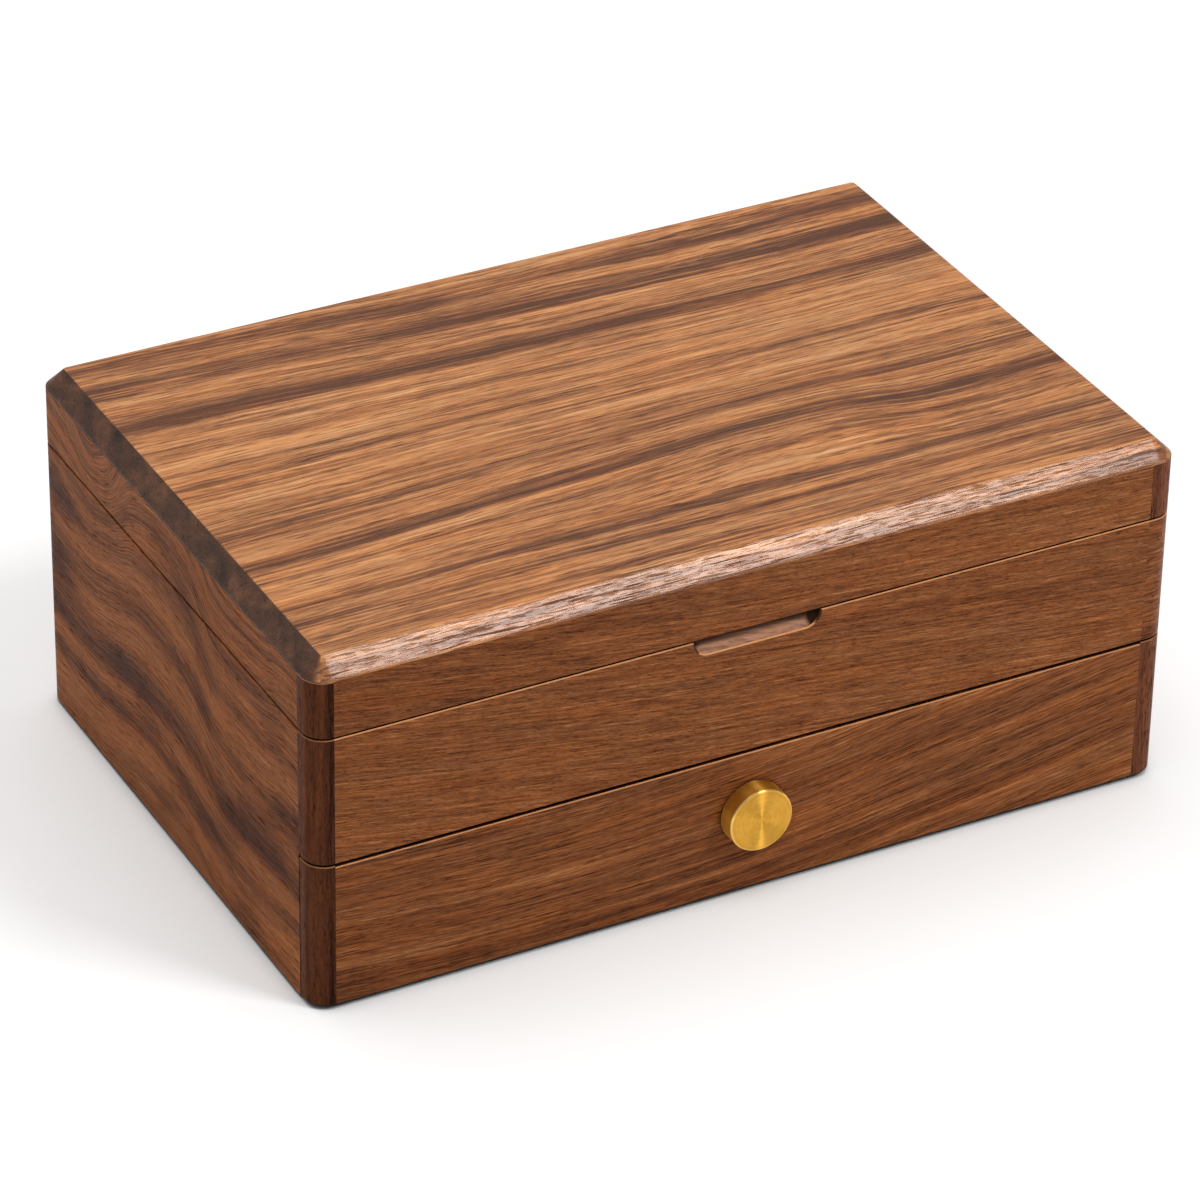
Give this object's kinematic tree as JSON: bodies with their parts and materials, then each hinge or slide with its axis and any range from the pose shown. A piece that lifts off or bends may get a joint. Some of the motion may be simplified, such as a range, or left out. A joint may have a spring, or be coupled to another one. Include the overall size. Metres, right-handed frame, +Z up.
{
  "type": "jewelry box with a drawer",
  "caption": "Walnut jewelry box with a hinged bevelled lid, a finger notch, a lined tray with ring rolls, and a full-width drawer on wooden runners with a round brass knob.",
  "frame": {"origin": "middle of the case's plan on the surface that the felt base stands on", "axes": "+X to the right along the front, +Y to the back with the hinges, +Z up"},
  "size_m": [0.28, 0.197, 0.1156],
  "materials": {
    "walnut_top": "oiled, straight grain along the box",
    "walnut_front": "oiled, straight grain along the box",
    "walnut_side": "oiled, figured grain from front to back",
    "walnut_post": "oiled dark heartwood",
    "walnut_inside": "oiled, plain grain",
    "brass": "satin",
    "brass_knob": "turned, circular brushing on the face",
    "steel_screw": "satin",
    "suede": "short nap",
    "felt": "pressed felt",
    "bumper": "matt"
  },
  "bodies": {
    "case": {"case_left_panel": "walnut_side", "case_right_panel": "walnut_side", "case_back_panel": "walnut_side", "upper_front_board": "walnut_front", "upper_front_left_post": "walnut_post", "upper_front_right_post": "walnut_post", "rear_left_post": "walnut_post", "rear_right_post": "walnut_post", "lid_bumpers": "bumper", "tray_deck": "walnut_inside", "base_panel": "walnut_inside", "base_felt": "felt", "left_runner": "walnut_inside", "right_runner": "walnut_inside", "runner_screws": "brass", "drawer_stop_block": "walnut_inside", "tray_lining": "suede", "tray_ring_divider": "walnut_inside", "tray_cross_divider": "walnut_inside", "tray_long_divider": "walnut_inside", "ring_roll_1": "suede", "ring_roll_2": "suede", "ring_roll_3": "suede", "ring_roll_4": "suede", "ring_roll_5": "suede", "ring_roll_6": "suede", "ring_roll_7": "suede", "left_hinge_case_leaf": "brass", "right_hinge_case_leaf": "brass", "left_hinge_pin": "brass", "right_hinge_pin": "brass", "case_leaf_screws": "brass"},
    "lid": {"lid_top_panel": "walnut_top", "lid_front_rail": "walnut_front", "lid_back_rail": "walnut_side", "lid_left_rail": "walnut_side", "lid_right_rail": "walnut_side", "lid_front_left_post": "walnut_post", "lid_front_right_post": "walnut_post", "lid_rear_left_post": "walnut_post", "lid_rear_right_post": "walnut_post", "lid_lining": "suede", "left_hinge_lid_leaf": "brass", "right_hinge_lid_leaf": "brass", "lid_leaf_screws": "brass"},
    "drawer": {"drawer_front_panel": "walnut_front", "drawer_front_left_post": "walnut_post", "drawer_front_right_post": "walnut_post", "drawer_left_side": "walnut_inside", "drawer_right_side": "walnut_inside", "drawer_back": "walnut_inside", "drawer_bottom": "walnut_inside", "drawer_lining": "suede", "drawer_long_divider": "walnut_inside", "drawer_left_divider": "walnut_inside", "drawer_right_divider": "walnut_inside", "knob": "brass_knob", "knob_screw": "steel_screw"}
  },
  "joints": [
    {"name": "lid_hinge", "type": "hinge", "parent": "case", "child": "lid", "pos_m": [0, 0.0948, 0.09105], "axis": [-1, 0, 0], "range_deg": [0, 95]},
    {"name": "drawer_slide", "type": "slide", "parent": "case", "child": "drawer", "axis": [0, -1, 0], "range_m": [0, 0.12]}
  ]
}
